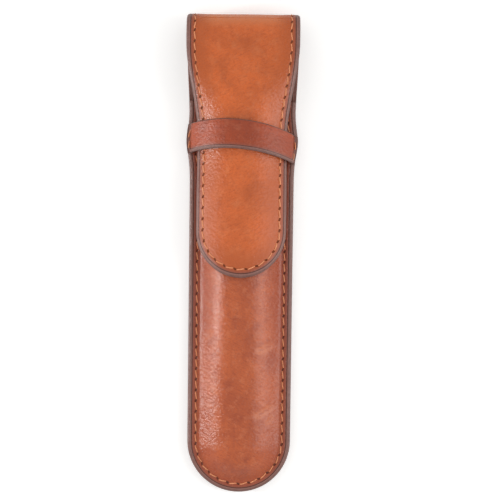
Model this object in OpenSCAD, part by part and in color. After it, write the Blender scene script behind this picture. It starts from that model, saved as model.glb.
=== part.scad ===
// Single pen sleeve of vegetable-tanned leather, lying on its back.
// One long strip of lined leather is the back, the fold and the flap.
// A lined, wet-moulded front is sewn to the back and makes the pocket.
// The flap's tongue passes under a keeper strap sewn into both side seams.
// Frame: X across, Y towards the fold, Z up; the back's outer face is at Z = 0.

/* [Body] */
// Length of the closed sleeve, from the fold to the round end
sleeve_len = 165; // [150:1:185]
// Width of the round end
end_w = 35.6; // [33:0.2:40]
// Width across the fold
fold_w = 38.8; // [37:0.2:44]
// How far each side swells where the strap is sewn in
strap_bulge = 1.2; // [1:0.1:2]
// Distance from the fold to the pocket's mouth
mouth_setback = 29.6; // [24:0.2:32]

/* [Leather] */
// Thickness of the leather of the back, fold and flap
back_leather_t = 1.4; // [1:0.1:1.8]
// Thickness of the lining of the back, fold and flap
back_lining_t = 0.8; // [0.6:0.1:1.2]
// Thickness of the moulded front leather
front_leather_t = 1.4; // [1:0.1:1.8]
// Thickness of the front's lining
front_lining_t = 0.7; // [0.5:0.1:1.1]
// Radius of the burnished edge
edge_r = 0.9; // [0.5:0.1:0.9]

/* [Pocket] */
// Height of the moulded dome above its flange, from the mouth to mid length
dome_h = 9.5; // [7:0.1:12]
// Height of the dome where the round end starts
dome_end_h = 6.5; // [5:0.1:9]
// Length over which the dome falls towards the round end
dome_fall_len = 60; // [40:1:80]
// Width of the flat flange between the outer edge and the dome's foot
flange_w = 3.8; // [3.6:0.1:5]

/* [Fold] */
// Outer radius of the fold
fold_r = 6.5; // [5.5:0.1:7]

/* [Flap] */
// Length of the flap, from the fold to the tongue's tip
flap_len = 90.6; // [84:0.2:98]
// Width of the tongue
tongue_w = 32; // [29:0.2:32.4]
// Gap between the closed flap and the front
flap_gap = 0.55; // [0.5:0.05:1]
// How far the tongue's edges stand above the flange away from the strap
tongue_lift = 2.4; // [2:0.1:4]
// How far the tongue's edges stand above the flange under the strap
strap_lift = 0.5; // [0.4:0.1:1]

/* [Strap] */
// Width of the keeper strap
strap_w = 10; // [7:0.1:12]
// Thickness of the keeper strap
strap_t = 1.3; // [1:0.1:1.4]
// Distance from the fold to the middle of the strap
strap_setback = 42.2; // [40:0.2:50]
// How far both strap ends lie below its middle
strap_bow = 2.8; // [0:0.1:3.5]
// How much lower the right end lies than the left
strap_skew = 3.8; // [0:0.1:4]
// Gap between the strap and the tongue
strap_gap = 0.45; // [0.4:0.05:0.8]

/* [Stitching] */
// Pitch of the stitches
stitch_pitch = 3.7; // [3:0.1:5]
// Length of one stitch
stitch_len = 2.8; // [2:0.1:2.9]
// Width of the thread
thread_w = 0.6; // [0.4:0.05:0.8]
// Height of the thread
thread_t = 0.25; // [0.15:0.05:0.3]
// Slant of each stitch to its seam, in degrees
stitch_slant = 8; // [0:1:15]
// Distance from the edge to the seam
seam_inset = 2.9; // [2.5:0.1:3.1]
// Distance from the edge to the stitches through the strap's ends
strap_seam_inset = 0.9; // [0.8:0.1:1]

/* [Hidden] */

// Colours of the finishes
tan_leather = [0.71, 0.37, 0.23];
strap_tan = [0.6, 0.31, 0.2];
lining_tan = [0.55, 0.33, 0.22];
thread_orange = [0.87, 0.57, 0.41];

// Heights of the layers
back_t = back_leather_t + back_lining_t;
front_t = front_leather_t + front_lining_t;
flange_z = back_t + front_t;
// Places along the sleeve
fold_y = sleeve_len / 2 - fold_r;
mouth_y = sleeve_len / 2 - mouth_setback;
strap_y = sleeve_len / 2 - strap_setback;
end_r = end_w / 2;
end_y = -sleeve_len / 2 + end_r;
tongue_r = tongue_w / 2;
tip_y = sleeve_len / 2 - flap_len + tongue_r;
// The sides are as wide as the fold from here on, this far before the fold
flare_lead = 4;
flare_end_y = fold_y - flare_lead;
// Share of the width gained slowly along the pocket, before the flare
slow_taper = 0.18;
// Half width of the swelling at the strap, along the sleeve
bulge_reach = 6.5;
// Powers of the dome's section: a higher one gives a flatter top, or a softer foot
dome_flat = 3.2;
dome_foot = 1.6;
// The flap's sides droop with this power of the distance from its middle
arch_power = 2.5;
// Length over which the strap holds the tongue's edges down, this far past it, and its middle
hold_lead = 4;
hold_reach = strap_w + hold_lead;
hold_y = strap_y - strap_bow / 2 - strap_skew / 4;
// Parts of the fold: three links and two half links, all of one arc
link_count = 3;
link_arc = 180 / (link_count + 1);
// The strap comes down this far outside the tongue's edge, with this slope,
// and its bends are rounded over about this height
edge_clear = 0.2;
wall_lean = 5;
strap_soft = 0.4;
// Clearance that keeps a thread or the strap off the leather under it
seat_gap = 0.03;
// Clearance that keeps the flap's threads off its leather and off its hollow lining
top_thread_gap = 0.06;
under_thread_gap = 0.14;
// Depth by which a back stitch's dent is larger than its thread
dent_gap = 0.05;
// Overlap of the flat back with its own bend
bend_lap = 0.02;
// Mesh steps: along the pocket and the flap, round their ends, and across half
front_steps = 19;
flap_steps = 15;
end_steps = 14;
edge_steps = 3;
dome_steps = 8;
arch_steps = 7;
arc_steps = 3;
over_steps = 9;
bend_steps = 12;
stitch_steps = 3;
$fn = 96;

function clamp01(t) = max(0, min(1, t));
function smooth(t) = clamp01(t) * clamp01(t) * (3 - 2 * clamp01(t));
function bell(t, power) = exp(-pow(abs(t), power));

// Half width of the back and front at a place along the sleeve
function body_half(y) =
    end_r
    + (fold_w / 2 - end_r) * slow_taper * clamp01((y - end_y) / (mouth_y - end_y))
    + (fold_w / 2 - end_r) * (1 - slow_taper) * smooth((y - strap_y) / (flare_end_y - strap_y))
    + strap_bulge * bell((y - strap_y + strap_bow / 2) / bulge_reach, 2);

// Half width of the flap at a place along the sleeve
function flap_half(y) =
    tongue_r + (fold_w / 2 - tongue_r) * smooth((y - strap_y) / (flare_end_y - strap_y));

// How far the surface drops at a distance inside a rounded edge
function edge_drop(inset) =
    inset >= edge_r ? 0 : edge_r - sqrt(edge_r * edge_r - pow(edge_r - inset, 2));
// Inset of an edge ring, closer together at the outside, where the edge is steep
function edge_inset(k) = edge_r * (1 - cos(90 * k / edge_steps));

// The front: height of its dome along the sleeve, and its moulded cross-section
function dome_at(y) =
    dome_end_h + (dome_h - dome_end_h) * smooth((y - end_y) / dome_fall_len);
function dome_share(v) = pow(1 - pow(v, dome_flat), dome_foot);
function dome_slope(v) =
    dome_flat * dome_foot * pow(v, dome_flat - 1) * pow(1 - pow(v, dome_flat), dome_foot - 1);
function front_inset(k, half) =
    k <= edge_steps ? edge_inset(k)
    : flange_w + (half - flange_w) * (1 - cos(90 * (k - edge_steps - 1) / dome_steps));
// A point of the front at ring k, depth t under its top, out from the middle line along way
function front_point(y, way, k, t) =
    let (half = body_half(y))
    let (inset = front_inset(k, half))
    let (v = min(1, (half - inset) / (half - flange_w)))
    let (slope = dome_at(y) * dome_slope(v) / (half - flange_w))
    let (norm = sqrt(1 + slope * slope))
    let (out = half - inset - t * slope / norm)
    let (z = flange_z + dome_at(y) * dome_share(v) - t / norm - (t == 0 ? edge_drop(inset) : 0))
    [way[0] * out, y + way[1] * out, z];

// The flap: height of its crown, and how far its edges droop below that
function crown_at(y) =
    let (rest_z = flange_z + dome_at(min(y, mouth_y)) + flap_gap + back_t)
    2 * fold_r + (rest_z - 2 * fold_r) * smooth((fold_y - y) / (fold_y - mouth_y));
function lift_at(y) =
    tongue_lift + (strap_lift - tongue_lift) * bell((y - hold_y) / hold_reach, 4);
function droop_at(y) =
    (crown_at(y) - flange_z - back_t - lift_at(y)) * smooth((fold_y - y) / (fold_y - strap_y));
function flap_z(x, y) =
    crown_at(y) - droop_at(y) * pow(min(1, abs(x) / flap_half(y)), arch_power);
function flap_slope(x, y) =
    let (share = min(1, abs(x) / flap_half(y)))
    droop_at(y) * arch_power * pow(share, arch_power - 1) / flap_half(y) * sign(x);
// Unit normal into the flap: its share towards the middle, and its share downwards
function slope_in(x, y) = -flap_slope(x, y) / sqrt(1 + pow(flap_slope(x, y), 2));
function slope_down(x, y) = 1 / sqrt(1 + pow(flap_slope(x, y), 2));
function flap_inset(k, half) =
    k <= edge_steps ? edge_inset(k)
    : edge_r + (half - edge_r) * (k - edge_steps) / arch_steps;
// A point of the flap at ring k and depth t; past fold_y it runs back round the fold
function flap_point(y, way, k, t) =
    let (half = flap_half(min(y, fold_y)))
    let (inset = flap_inset(k, half))
    let (deep = t + (t == 0 ? edge_drop(inset) : 0))
    let (out = half - inset)
    let (x = way[0] * out)
    let (py = y + way[1] * out)
    let (turn = max(0, y - fold_y) / fold_r * 180 / PI)
    y > fold_y
        ? [x, fold_y + (fold_r - deep) * sin(turn), fold_r + (fold_r - deep) * cos(turn)]
        : [x + deep * slope_in(x, py), py, flap_z(x, py) - deep * slope_down(x, py)];

// Two triangles between four points, the same way on every layer
function quad(a, b, c, d) = [[a, b, c], [a, c, d]];

// A lined panel's layer: full rings across from ys[0] to the last of ys, then a round end.
// Each ring has 2 * m + 1 points, and at(y, way, k, t) gives a point of it.
module panel_layer(ys, m, at, top_t, bottom_t) {
    rows = len(ys) - 1;
    last_y = ys[rows];
    full = 2 * m + 1;
    function side(i, j) = i * full + j;
    function round_end(a, k) =
        a == 0 ? side(rows, k)
        : a == end_steps ? side(rows, 2 * m - k)
        : k == m ? side(rows, m)
        : (rows + 1) * full + (a - 1) * m + k;
    function points(t) = concat(
        [for (y = ys) for (j = [0:2 * m]) at(y, [j <= m ? -1 : 1, 0], j <= m ? j : 2 * m - j, t)],
        [for (a = [1:end_steps - 1]) for (k = [0:m - 1])
            at(last_y, [-cos(180 * a / end_steps), -sin(180 * a / end_steps)], k, t)]);
    top = points(top_t);
    n = len(top);
    skin = concat(
        [for (i = [0:rows - 1]) for (j = [0:2 * m - 1])
            each quad(side(i, j), side(i, j + 1), side(i + 1, j + 1), side(i + 1, j))],
        [for (a = [0:end_steps - 1]) for (k = [0:m - 2])
            each quad(round_end(a, k), round_end(a, k + 1),
                round_end(a + 1, k + 1), round_end(a + 1, k))],
        [for (a = [0:end_steps - 1])
            [round_end(a, m - 1), round_end(a, m), round_end(a + 1, m - 1)]]);
    rim = concat(
        [for (j = [0:2 * m]) side(0, j)],
        [for (i = [1:rows]) side(i, 2 * m)],
        [for (a = [end_steps - 1:-1:0]) round_end(a, 0)],
        [for (i = [rows - 1:-1:1]) side(i, 0)]);
    count = len(rim);
    walls = [for (i = [0:count - 1])
        let (p = rim[i])
        let (q = rim[(i + 1) % count])
        each quad(p, p + n, q + n, q)];
    under = [for (f = skin) [f[2] + n, f[1] + n, f[0] + n]];
    polyhedron(concat(top, points(bottom_t)), concat(skin, walls, under));
}

function spread(from, to, steps) = [for (i = [0:steps]) from + (to - from) * i / steps];
front_rows = spread(mouth_y, end_y, front_steps);
half_arc_len = fold_r * PI * link_arc / 360;
flap_rows = concat(
    spread(fold_y + half_arc_len, fold_y + half_arc_len / arc_steps, arc_steps - 1),
    spread(fold_y, tip_y, flap_steps));

// Outline of the back, up to where the fold starts
module body_outline() {
    sides = spread(fold_y + bend_lap, end_y, 40);
    polygon(concat(
        [for (y = sides) [body_half(y), y]],
        [for (i = [40:-1:0]) [-body_half(sides[i]), sides[i]]]));
    translate([0, end_y]) circle(end_r);
}

// A strip bent round the fold between two angles, counted from the back
module fold_arc(from, to, inner_r, outer_r, rounded) {
    half = fold_w / 2;
    corner = [for (k = [0:edge_steps]) [edge_inset(k), edge_drop(edge_inset(k))]];
    section = concat(
        [[inner_r, -half], [inner_r, half]],
        rounded
            ? concat(
                [for (p = corner) [outer_r - p[1], half - p[0]]],
                [for (i = [edge_steps:-1:0]) [outer_r - corner[i][1], corner[i][0] - half]])
            : [[outer_r, half], [outer_r, -half]]);
    translate([0, fold_y, fold_r])
        rotate([0, 90, 0])
            rotate([0, 0, from])
                rotate_extrude(angle = to - from)
                    polygon(section);
}

// One side's stitch round the fold, as a short arc of thread
module fold_stitch(middle, side, inner_r, outer_r, grow) {
    reach = (stitch_len / 2 + grow) / min(outer_r, fold_r) * 180 / PI;
    wide = thread_w / 2 + grow;
    place = side * (fold_w / 2 - seam_inset);
    translate([0, fold_y, fold_r])
        rotate([0, 90, 0])
            rotate([0, 0, middle - reach])
                rotate_extrude(angle = 2 * reach)
                    translate([inner_r, place - wide])
                        square([outer_r - inner_r, 2 * wide]);
}

// Places along the seam of the body: left side down, round the end, right side up
function seam_run(from_y, last_y, r) = 2 * (from_y - last_y) + PI * r;
function seam_place(s, from_y, last_y, r, half_at, inset) =
    let (side = from_y - last_y)
    s < side ? [-(half_at(from_y - s) - inset), from_y - s, 90]
    : s < side + PI * r
        ? let (a = (s - side) / r * 180 / PI)
            [-r * cos(a), last_y - r * sin(a), 90 + a]
    : let (y = last_y + s - side - PI * r)
        [half_at(y) - inset, y, 90];
function seam_places(from_y, last_y, r, half_at, inset) =
    let (run = seam_run(from_y, last_y, r))
    let (count = floor(run / stitch_pitch))
    [for (i = [0:count - 1])
        seam_place((i + 0.5) * run / count, from_y, last_y, r, half_at, inset)];

body_half_at = function (y) body_half(y);
flap_half_at = function (y) flap_half(y);
body_seam = seam_places(mouth_y, end_y, end_r - seam_inset, body_half_at, seam_inset);
back_seam = seam_places(fold_y, end_y, end_r - seam_inset, body_half_at, seam_inset);
flap_seam = seam_places(fold_y, tip_y, tongue_r - seam_inset, flap_half_at, seam_inset);

// A stitch: a short flat bar, lying along its seam with a slight slant
module stitch(grow = 0) {
    rotate([0, 0, stitch_slant])
        translate([-stitch_len / 2 - grow, -thread_w / 2 - grow, 0])
            cube([stitch_len + 2 * grow, thread_w + 2 * grow, thread_t + grow]);
}

// Middle line of the strap
function strap_mid_y(x) =
    strap_y - strap_skew * x / fold_w - strap_bow * 4 * x * x / (fold_w * fold_w);
// The lower or the higher of two heights, with the corner between them rounded
function soft_min(a, b) = (a + b - sqrt(pow(a - b, 2) + pow(strap_soft, 2))) / 2;
function soft_max(a, b) = (a + b + sqrt(pow(a - b, 2) + pow(strap_soft, 2))) / 2;
// Height of the strap's face at thickness t over the tongue: it follows the tongue's arch,
// falls steeply outside the tongue's edge, and lies flat on the flange at the side seam
function strap_z(x, y, t) =
    let (edge = flap_half(y))
    let (past = max(0, abs(x) - edge))
    let (seat = flange_z + seat_gap)
    let (lean = abs(flap_slope(min(abs(x), edge), y)))
    let (arch = flap_z(min(abs(x), edge), y) + strap_gap * sqrt(1 + lean * lean) - seat - lean * past)
    let (wall = flap_z(edge, y) + strap_gap - seat - wall_lean * (abs(x) - edge - edge_clear))
    let (over = arch + t * (sqrt(1 + lean * lean) - 1))
    let (down = wall + t * (sqrt(1 + wall_lean * wall_lean) - 1))
    seat + t + soft_max(soft_min(over, down), 0);
// Place of a strap station across, in steps from the middle to the edge of the tongue and on
function strap_x(i, y) =
    let (step = abs(i))
    let (edge = flap_half(y))
    sign(i) * (step <= over_steps ? edge * step / over_steps
        : edge + (body_half(y) - edge) * (step - over_steps) / bend_steps);

module back_leather() {
    color(tan_leather)
        difference() {
            union() {
                linear_extrude(back_leather_t) body_outline();
                fold_arc(0, link_arc / 2, fold_r - back_leather_t, fold_r, true);
            }
            for (p = back_seam)
                translate([p[0], p[1], -dent_gap]) rotate([0, 0, p[2]]) stitch(dent_gap);
        }
}

module back_lining() {
    color(lining_tan) {
        translate([0, 0, back_leather_t]) linear_extrude(back_lining_t) body_outline();
        fold_arc(0, link_arc / 2, fold_r - back_t, fold_r - back_leather_t, false);
    }
}

module front_leather() {
    color(tan_leather)
        panel_layer(front_rows, edge_steps + 1 + dome_steps,
            function (y, way, k, t) front_point(y, way, k, t), 0, front_leather_t);
}

module front_lining() {
    color(lining_tan)
        panel_layer(front_rows, edge_steps + 1 + dome_steps,
            function (y, way, k, t) front_point(y, way, k, t), front_leather_t, front_t);
}

module flap_leather() {
    color(tan_leather)
        panel_layer(flap_rows, edge_steps + arch_steps,
            function (y, way, k, t) flap_point(y, way, k, t), 0, back_leather_t);
}

module flap_lining() {
    color(lining_tan)
        panel_layer(flap_rows, edge_steps + arch_steps,
            function (y, way, k, t) flap_point(y, way, k, t), back_leather_t, back_t);
}

module fold_leather(n) {
    middle = n * link_arc;
    color(tan_leather)
        difference() {
            fold_arc(middle - link_arc / 2, middle + link_arc / 2,
                fold_r - back_leather_t, fold_r, true);
            for (side = [-1, 1])
                fold_stitch(middle, side, fold_r - thread_t - dent_gap, fold_r + 1, dent_gap);
        }
}

module fold_lining(n) {
    middle = n * link_arc;
    color(lining_tan)
        fold_arc(middle - link_arc / 2, middle + link_arc / 2,
            fold_r - back_t, fold_r - back_leather_t, false);
}

module fold_seam(n) {
    middle = n * link_arc;
    color(thread_orange)
        for (side = [-1, 1]) {
            fold_stitch(middle, side, fold_r - thread_t, fold_r, 0);
            fold_stitch(middle, side, fold_r - back_t - seat_gap - thread_t,
                fold_r - back_t - seat_gap, 0);
        }
}

module keeper_strap() {
    across = [-1, -0.85, 0, 0.85, 1];
    lanes = len(across);
    last = over_steps + bend_steps;
    stations = 2 * last;
    // Points of one face, in rows from the left end to the right
    function face(t) = [
        for (i = [-last:last]) for (e = across)
            let (y = strap_mid_y(strap_x(i, strap_y)) + e * strap_w / 2)
            let (x = strap_x(i, y))
            let (round_off = t > 0 && abs(e) == 1 ? t / 4 : 0)
            [x, y, strap_z(x, y, t) - round_off]];
    top = face(strap_t);
    n = len(top);
    skin = [for (i = [0:stations - 1]) for (j = [0:lanes - 2])
        each quad(i * lanes + j, i * lanes + j + 1, (i + 1) * lanes + j + 1, (i + 1) * lanes + j)];
    rim = concat(
        [for (j = [0:lanes - 1]) j],
        [for (i = [1:stations]) i * lanes + lanes - 1],
        [for (j = [lanes - 2:-1:0]) stations * lanes + j],
        [for (i = [stations - 1:-1:1]) i * lanes]);
    count = len(rim);
    walls = [for (i = [0:count - 1])
        let (p = rim[i])
        let (q = rim[(i + 1) % count])
        each quad(p, p + n, q + n, q)];
    under = [for (f = skin) [f[2] + n, f[1] + n, f[0] + n]];
    color(strap_tan)
        polyhedron(concat(top, face(0)), concat(skin, walls, under));
}

// The side seam shows beside the tongue; its stitches through the strap are a node of their own
module side_seam_front() {
    color(thread_orange)
        for (p = body_seam)
            if (abs(p[1] - strap_mid_y(p[0])) > strap_w / 2 + stitch_len / 2)
                translate([p[0], p[1], flange_z + seat_gap]) rotate([0, 0, p[2]]) stitch();
}

module side_seam_back() {
    color(thread_orange)
        for (p = back_seam)
            translate([p[0], p[1], 0]) rotate([0, 0, p[2]]) stitch();
}

// Stitches through each end of the strap
module strap_seam() {
    count = floor(strap_w / stitch_pitch);
    color(thread_orange)
        for (side = [-1, 1]) for (i = [0:count - 1]) {
            y = strap_mid_y(side * fold_w / 2) + (i - (count - 1) / 2) * stitch_pitch;
            x = side * (body_half(y) - strap_seam_inset);
            z = strap_z(x - side * thread_w, y, strap_t) + seat_gap;
            translate([x, y, z]) rotate([0, 0, 90]) stitch();
        }
}

// Stitches across the mouth, through the front and its lining
module mouth_seam() {
    y = mouth_y - seam_inset;
    reach = body_half(y) - flange_w - stitch_pitch;
    count = floor(2 * reach / stitch_pitch);
    color(thread_orange)
        for (i = [0:count - 1]) {
            x = (i - (count - 1) / 2) * stitch_pitch;
            v = abs(x) / (body_half(y) - flange_w);
            slope = dome_at(y) * dome_slope(v) / (body_half(y) - flange_w);
            translate([x, y, flange_z + dome_at(y) * dome_share(v)])
                rotate([0, sign(x) * atan(slope), 0])
                    translate([0, 0, 2 * seat_gap])
                        stitch();
        }
}

// Stitches of the back's border between the mouth and the fold, on its inner side
module head_seam() {
    count = floor((fold_y - mouth_y) / stitch_pitch);
    color(thread_orange)
        for (side = [-1, 1]) for (i = [0:count - 1]) {
            y = mouth_y + (i + 0.5) * (fold_y - mouth_y) / count;
            translate([side * (body_half(y) - seam_inset), y, back_t + seat_gap])
                rotate([0, 0, 90])
                    stitch();
        }
}

// Slope of the flap along the sleeve
function flap_fall(x, y) = (flap_z(x, y + seat_gap) - flap_z(x, y - seat_gap)) / (2 * seat_gap);
// A point at a height over the flap's face, measured along the face's normal
function over_flap(x, y, rise) =
    let (across = flap_slope(x, y))
    let (along = -flap_fall(x, y))
    let (norm = sqrt(1 + across * across + along * along))
    [x + rise * across / norm, y + rise * along / norm, flap_z(x, y) + rise / norm];

// One stitch of the flap's border: a bar bent to follow the face, from one height to another
module flap_stitch(place, low, high) {
    turn = place[2] + stitch_slant;
    way = [cos(turn), sin(turn)];
    function spot(i, side) =
        let (run = stitch_len * (i / stitch_steps - 0.5))
        [place[0] + way[0] * run - way[1] * side, place[1] + way[1] * run + way[0] * side];
    points = [for (i = [0:stitch_steps]) for (c = [[-1, low], [1, low], [1, high], [-1, high]])
        let (p = spot(i, c[0] * thread_w / 2))
        over_flap(p[0], p[1], c[1])];
    sides = [for (i = [0:stitch_steps - 1]) for (c = [0:3])
        let (d = (c + 1) % 4)
        each quad(4 * i + c, 4 * i + d, 4 * i + 4 + d, 4 * i + 4 + c)];
    last = 4 * stitch_steps;
    polyhedron(points, concat(quad(3, 2, 1, 0), sides, quad(last, last + 1, last + 2, last + 3)));
}

// One face of the flap's border seam, between two heights over the flap's top
module flap_border(low, high) {
    for (p = flap_seam)
        flap_stitch(p, low, high);
}

module flap_seam_top() {
    color(thread_orange) flap_border(top_thread_gap, top_thread_gap + thread_t);
}

module flap_seam_under() {
    color(thread_orange) flap_border(-back_t - under_thread_gap - thread_t, -back_t - under_thread_gap);
}

back_leather();
back_lining();
front_leather();
front_lining();
keeper_strap();
side_seam_front();
side_seam_back();
mouth_seam();
strap_seam();
head_seam();
fold_leather(1);  // fold_leather_1
fold_leather(2);  // fold_leather_2
fold_leather(3);  // fold_leather_3
fold_lining(1);  // fold_lining_1
fold_lining(2);  // fold_lining_2
fold_lining(3);  // fold_lining_3
fold_seam(1);  // fold_seam_1
fold_seam(2);  // fold_seam_2
fold_seam(3);  // fold_seam_3
flap_leather();
flap_lining();
flap_seam_top();
flap_seam_under();
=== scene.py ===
"""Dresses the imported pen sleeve: leather, lining, strap, saddle stitches and a plain stage."""

import math

import bpy
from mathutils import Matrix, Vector, noise


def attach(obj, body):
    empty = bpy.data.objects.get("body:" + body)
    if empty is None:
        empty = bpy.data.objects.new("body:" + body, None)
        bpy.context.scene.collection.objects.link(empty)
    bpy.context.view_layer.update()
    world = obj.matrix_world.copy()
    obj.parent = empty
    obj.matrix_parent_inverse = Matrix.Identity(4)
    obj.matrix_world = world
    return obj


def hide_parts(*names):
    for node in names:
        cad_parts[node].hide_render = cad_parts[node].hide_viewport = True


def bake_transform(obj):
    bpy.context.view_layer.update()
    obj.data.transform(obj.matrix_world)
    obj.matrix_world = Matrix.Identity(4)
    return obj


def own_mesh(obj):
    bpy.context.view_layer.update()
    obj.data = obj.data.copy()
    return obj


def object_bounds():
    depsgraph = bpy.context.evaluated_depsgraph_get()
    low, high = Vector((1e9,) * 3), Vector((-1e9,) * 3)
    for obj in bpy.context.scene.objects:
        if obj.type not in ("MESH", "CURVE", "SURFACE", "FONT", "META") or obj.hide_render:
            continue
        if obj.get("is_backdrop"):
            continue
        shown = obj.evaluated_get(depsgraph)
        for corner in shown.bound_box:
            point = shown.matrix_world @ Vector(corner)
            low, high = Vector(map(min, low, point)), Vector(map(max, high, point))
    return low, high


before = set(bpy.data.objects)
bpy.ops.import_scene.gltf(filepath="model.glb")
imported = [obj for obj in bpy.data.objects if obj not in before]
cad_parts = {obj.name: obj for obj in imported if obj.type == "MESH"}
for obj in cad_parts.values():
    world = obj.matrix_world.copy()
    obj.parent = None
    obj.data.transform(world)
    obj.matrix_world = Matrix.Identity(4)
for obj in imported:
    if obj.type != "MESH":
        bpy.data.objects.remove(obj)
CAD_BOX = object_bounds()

bl_info = {
    "name": "Pen sleeve",
    "version": (1, 0, 0),
    "blender": (4, 5, 0),
    "location": "3D View > Sidebar > Pen sleeve",
    "description": "Builds a stitched leather sleeve for one pen around its packed frame",
    "category": "Add Mesh",
}

MM = 0.001
MERGE = 2e-6  # points nearer than this are one
LINK_ARC = math.pi / 4  # arc of one link of the fold
FOLD_PITCH = math.pi / 6  # arc from one stitch round the fold to the next


def length(description, default):
    """A size, with its default in millimetres."""
    settings = {"default": default * MM, "unit": "LENGTH", "precision": 5}
    return bpy.props.FloatProperty(description=description, **settings)


def colour(description, default):
    settings = {"subtype": "COLOR", "size": 3, "min": 0, "max": 1}
    return bpy.props.FloatVectorProperty(description=description, default=default, **settings)


class SleeveSizes(bpy.types.PropertyGroup):
    """Sizes of the panels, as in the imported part."""

    sleeve_len: length("From the fold to the round end", 165)
    end_w: length("Width of the round end", 35.6)
    fold_w: length("Width across the fold", 38.8)
    strap_bulge: length("How far each side swells at the strap", 1.2)
    mouth_setback: length("From the fold to the pocket's mouth", 29.6)
    back_leather_t: length("Thickness of the strip's leather", 1.4)
    back_lining_t: length("Thickness of the strip's lining", 0.8)
    front_leather_t: length("Thickness of the front's leather", 1.4)
    front_lining_t: length("Thickness of the front's lining", 0.7)
    dome_h: length("Height of the dome above its flange", 9.5)
    dome_end_h: length("Height of the dome at the round end", 6.5)
    dome_fall_len: length("Length over which the dome falls", 60)
    flange_w: length("From the edge to the dome's foot", 3.8)
    fold_r: length("Outer radius of the fold", 6.5)
    flap_len: length("From the fold to the tongue's tip", 90.6)
    tongue_w: length("Width of the tongue", 32)
    flap_gap: length("Gap between the closed flap and the front", 0.55)
    tongue_lift: length("Height of the tongue's edges over the flange", 2.4)
    strap_lift: length("The same height under the strap", 0.5)
    strap_w: length("Width of the keeper strap", 10)
    strap_t: length("Thickness of the keeper strap", 1.3)
    strap_setback: length("From the fold to the strap's middle", 42.2)
    strap_bow: length("How far the strap's ends lie below its middle", 2.8)
    strap_skew: length("How much lower the right end lies", 3.8)
    strap_gap: length("Gap between the strap and the tongue", 0.45)
    seam_inset: length("From the edge to the seam", 2.9)
    stitch_pitch: length("From one stitch to the next", 3.7)
    thread_d: length("Thickness of the waxed thread", 0.42)


class SleeveLooks(bpy.types.PropertyGroup):
    """Colours and small forms of the finishes."""

    tan: colour("Leather of the front, back and flap", (0.66, 0.133, 0.0245))
    # also painted shade: over the sides towards the seam, and round the stitch holes
    tan_deep: colour("Darker mottling of the leather", (0.46, 0.090, 0.016))
    # also the painted sheen round the fold's middle
    tan_pale: colour("Where the leather is rubbed", (0.66, 0.19, 0.065))
    front: colour("Leather of the moulded front", (0.52, 0.112, 0.032))
    # also painted shade: over the sides towards the seam, in the creases' core and round the stitch
    # holes
    front_deep: colour("Darker mottling of the front", (0.32, 0.058, 0.021))
    # also the painted highlights on the creases' ridges
    front_pale: colour("Where the front is rubbed", (0.62, 0.19, 0.085))
    rim: colour("Burnished leather beside the painted edge", (0.25, 0.062, 0.036))
    strap: colour("Leather of the keeper strap", (0.41, 0.060, 0.010))
    strap_deep: colour("Darker mottling of the strap", (0.25, 0.038, 0.011))
    strap_pale: colour("Where the strap is rubbed", (0.44, 0.12, 0.055))
    lining: colour("Matt lining leather", (0.40, 0.16, 0.075))
    # also painted shade towards the seam and round the stitch holes
    lining_deep: colour("Darker mottling of the lining", (0.27, 0.095, 0.042))
    # also, paler, the painted highlight on the top of the edge's rounding
    edge: colour("Painted edge of every panel", (0.20, 0.092, 0.075))
    # near black: painted shade inside each stitch hole; the edge's crease line is also drawn in it
    hole: colour("Inside of a stitch hole", (0.020, 0.006, 0.003))
    thread: colour("Waxed linen thread", (1.0, 0.40, 0.19))
    # painted shade in the hollows between the strands, and darker fuzz
    thread_deep: colour("Hollows between the thread's strands", (0.60, 0.20, 0.08))
    floor: colour("Plain pale floor", (0.86, 0.86, 0.86))
    edge_w: length("Width of the rounded, painted edge", 1.35)
    edge_h: length("How far the edge is rounded down", 1.0)
    ripple: length("Depth of the leather's slow unevenness", 0.14)


def clamp01(t):
    return max(0.0, min(1.0, t))


def smooth(t):
    t = clamp01(t)
    return t * t * (3 - 2 * t)


def bell(t, power=2):
    return math.exp(-(abs(t) ** power))


def rounding(t):
    """Drop of a quarter-round edge at a share of its width: 1 at the edge, 0 where it ends."""
    return 1 - math.sqrt(1 - (1 - t) ** 2)


# Soft creases of the moulded front: from, to, depth and half width
CREASES = (
    ((5.5 * MM, -33.5 * MM), (12.0 * MM, -31.0 * MM), 0.30 * MM, 0.8 * MM),
    ((5.2 * MM, -56.0 * MM), (12.3 * MM, -52.4 * MM), 0.42 * MM, 0.8 * MM),
    ((9.5 * MM, -58.5 * MM), (12.0 * MM, -55.5 * MM), 0.22 * MM, 0.6 * MM),
    ((-12.6 * MM, -29.8 * MM), (-9.5 * MM, -26.4 * MM), 0.24 * MM, 0.7 * MM),
)


def crease_share(x, y, crease):
    """How deep a crease is at a place: 1 on its line, fading beside it and towards its ends."""
    start, end, _, wide = crease
    run = (end[0] - start[0], end[1] - start[1])
    along = ((x - start[0]) * run[0] + (y - start[1]) * run[1]) / (run[0] ** 2 + run[1] ** 2)
    near = clamp01(along)
    off = math.hypot(x - start[0] - near * run[0], y - start[1] - near * run[1])
    return bell(off / wide) * smooth(2.2 - 2 * abs(2 * near - 1))


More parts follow.
